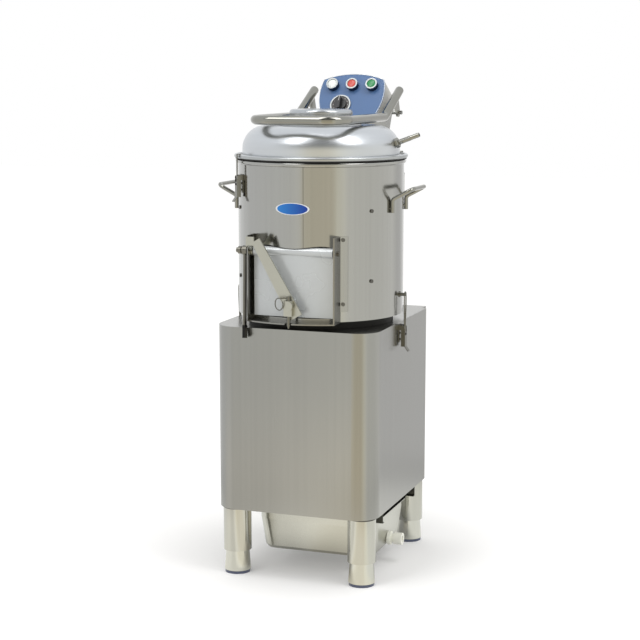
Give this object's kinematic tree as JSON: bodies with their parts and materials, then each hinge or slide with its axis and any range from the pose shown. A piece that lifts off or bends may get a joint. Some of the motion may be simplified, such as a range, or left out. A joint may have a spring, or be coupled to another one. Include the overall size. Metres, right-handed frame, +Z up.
{
  "type": "electric potato peeler",
  "caption": "Floor-standing potato peeler: round drum with a lift-up hatch, discharge door and tilted control panel on a square steel cabinet with legs and a drain pan.",
  "frame": {"origin": "on the floor, under the middle of the whole machine", "axes": "+Z up; the front with the discharge door faces -Y; +X to the right as seen from the front"},
  "size_m": [0.5012, 0.5825, 1.1991],
  "materials": {
    "brushed_steel": "fine vertical brushing",
    "polished_steel": "polished",
    "cast_aluminium": "smooth casting, satin",
    "dark_plastic": "matte",
    "black_rubber": "matte",
    "abrasive": "coarse bonded grit",
    "motor_paint": "semi-gloss",
    "rotor_steel": "turned",
    "blue_plate": "satin",
    "grey_box": "satin",
    "white_plastic": "gloss",
    "red_plastic": "gloss",
    "green_plastic": "gloss"
  },
  "bodies": {
    "stand": {"cabinet_shell": "brushed_steel", "cabinet_top": "brushed_steel", "cabinet_floor": "brushed_steel", "cabinet_back": "brushed_steel", "leg_tubes": "brushed_steel", "pan_rails": "dark_plastic", "drain_pipe": "brushed_steel", "cable_gland": "dark_plastic", "drum_base_ring": "dark_plastic", "drum_shell": "brushed_steel", "drum_floor": "brushed_steel", "abrasive_liner": "abrasive", "bearing_housing": "cast_aluminium", "shaft_bearings": "polished_steel", "drive_belt": "black_rubber", "motor_body": "motor_paint", "motor_mount": "brushed_steel", "panel_screws": "polished_steel", "side_handles": "polished_steel", "badge_plate": "blue_plate", "drum_catches": "polished_steel", "latch_bases": "polished_steel", "door_frame": "brushed_steel", "lid_dome": "polished_steel", "lid_gasket": "black_rubber", "inlet_nozzle": "polished_steel", "control_column": "brushed_steel", "control_box": "grey_box", "control_panel": "blue_plate", "pilot_lamp": "white_plastic", "control_bezels": "polished_steel", "switch_blocks": "dark_plastic"},
    "foot_front_left": {"foot_front_left": "brushed_steel"},
    "foot_front_right": {"foot_front_right": "brushed_steel"},
    "foot_rear_left": {"foot_rear_left": "brushed_steel"},
    "foot_rear_right": {"foot_rear_right": "brushed_steel"},
    "pan": {"drain_pan": "brushed_steel", "pan_spigot": "white_plastic"},
    "spindle": {"drive_shaft": "polished_steel", "abrasive_disc": "abrasive", "driven_pulley": "cast_aluminium"},
    "motor_shaft": {"motor_rotor": "rotor_steel", "motor_pulley": "cast_aluminium"},
    "hatch": {"hatch_cover": "polished_steel", "hatch_bar": "polished_steel"},
    "door": {"door_panel": "cast_aluminium", "door_lever": "brushed_steel", "door_handle": "brushed_steel"},
    "lock": {"lock_pin": "polished_steel"},
    "lid_lever_front": {"lid_lever_front": "polished_steel"},
    "lid_hook_front": {"lid_hook_front": "polished_steel"},
    "lid_lever_rear": {"lid_lever_rear": "polished_steel"},
    "lid_hook_rear": {"lid_hook_rear": "polished_steel"},
    "base_lever_right": {"base_lever_right": "polished_steel"},
    "base_bail_right": {"base_bail_right": "polished_steel"},
    "base_lever_left": {"base_lever_left": "polished_steel"},
    "base_bail_left": {"base_bail_left": "polished_steel"},
    "stop": {"stop_button": "red_plastic"},
    "start": {"start_button": "green_plastic"},
    "timer": {"timer_knob": "dark_plastic"}
  },
  "joints": [
    {"name": "foot_front_left_screw", "type": "slide", "parent": "stand", "child": "foot_front_left", "axis": [0, 0, -1], "range_m": [0, 0.025]},
    {"name": "foot_front_right_screw", "type": "slide", "parent": "stand", "child": "foot_front_right", "axis": [0, 0, -1], "range_m": [0, 0.025]},
    {"name": "foot_rear_left_screw", "type": "slide", "parent": "stand", "child": "foot_rear_left", "axis": [0, 0, -1], "range_m": [0, 0.025]},
    {"name": "foot_rear_right_screw", "type": "slide", "parent": "stand", "child": "foot_rear_right", "axis": [0, 0, -1], "range_m": [0, 0.025]},
    {"name": "pan_slide", "type": "slide", "parent": "stand", "child": "pan", "axis": [1, 0, 0], "range_m": [0, 0.28]},
    {"name": "disc_spin", "type": "hinge", "parent": "stand", "child": "spindle", "pos_m": [0, -0.045, 0.5], "axis": [0, 0, 1], "continuous": true},
    {"name": "motor_spin", "type": "hinge", "parent": "stand", "child": "motor_shaft", "pos_m": [0, 0.109, 0.45], "axis": [0, 0, 1], "continuous": true},
    {"name": "hatch_swing", "type": "hinge", "parent": "stand", "child": "hatch", "pos_m": [0, 0.218, 1.103], "axis": [-1, 0, 0], "range_deg": [0, 85]},
    {"name": "door_swing", "type": "hinge", "parent": "stand", "child": "door", "pos_m": [0, -0.233, 0.792], "axis": [-1, 0, 0], "range_deg": [0, 45]},
    {"name": "lock_lift", "type": "slide", "parent": "door", "child": "lock", "axis": [0, 0, 1], "range_m": [0, 0.012], "stiffness_N_per_m": 300, "springref_m": -0.01},
    {"name": "lid_latch_front", "type": "hinge", "parent": "stand", "child": "lid_lever_front", "pos_m": [-0.1601, -0.17934, 0.958], "axis": [-0.6428, 0.766, 0], "range_deg": [0, 100]},
    {"name": "lid_hook_front_turn", "type": "hinge", "parent": "lid_lever_front", "child": "lid_hook_front", "pos_m": [-0.16263, -0.18146, 0.946], "axis": [-0.6428, 0.766, 0], "range_deg": [-95, 0]},
    {"name": "lid_latch_rear", "type": "hinge", "parent": "stand", "child": "lid_lever_rear", "pos_m": [0.1601, 0.08934, 0.958], "axis": [0.6428, -0.766, 0], "range_deg": [0, 100]},
    {"name": "lid_hook_rear_turn", "type": "hinge", "parent": "lid_lever_rear", "child": "lid_hook_rear", "pos_m": [0.16263, 0.09146, 0.946], "axis": [0.6428, -0.766, 0], "range_deg": [-95, 0]},
    {"name": "base_latch_right", "type": "hinge", "parent": "stand", "child": "base_lever_right", "pos_m": [0.21, -0.045, 0.598], "axis": [0, -1, 0], "range_deg": [0, 100]},
    {"name": "base_bail_right_turn", "type": "hinge", "parent": "base_lever_right", "child": "base_bail_right", "pos_m": [0.2133, -0.045, 0.586], "axis": [0, -1, 0], "range_deg": [-95, 0]},
    {"name": "base_latch_left", "type": "hinge", "parent": "stand", "child": "base_lever_left", "pos_m": [-0.21, -0.045, 0.598], "axis": [0, 1, 0], "range_deg": [0, 100]},
    {"name": "base_bail_left_turn", "type": "hinge", "parent": "base_lever_left", "child": "base_bail_left", "pos_m": [-0.2133, -0.045, 0.586], "axis": [0, 1, 0], "range_deg": [-95, 0]},
    {"name": "stop_press", "type": "slide", "parent": "stand", "child": "stop", "axis": [0, 0.8729, -0.4879], "range_m": [0, 0.003], "stiffness_N_per_m": 400, "springref_m": -0.002},
    {"name": "start_press", "type": "slide", "parent": "stand", "child": "start", "axis": [0, 0.8729, -0.4879], "range_m": [0, 0.003], "stiffness_N_per_m": 400, "springref_m": -0.002},
    {"name": "timer_turn", "type": "hinge", "parent": "stand", "child": "timer", "pos_m": [-0.024, 0.16903, 1.12185], "axis": [0, 0.8729, -0.4879], "range_deg": [0, 300]}
  ],
  "couplings": [
    {"joint": "motor_spin", "follows": "disc_spin", "ratio": 3.9583},
    {"joint": "lid_hook_front_turn", "follows": "lid_latch_front", "ratio": -0.95},
    {"joint": "lid_hook_rear_turn", "follows": "lid_latch_rear", "ratio": -0.95},
    {"joint": "base_bail_right_turn", "follows": "base_latch_right", "ratio": -0.95},
    {"joint": "base_bail_left_turn", "follows": "base_latch_left", "ratio": -0.95}
  ]
}
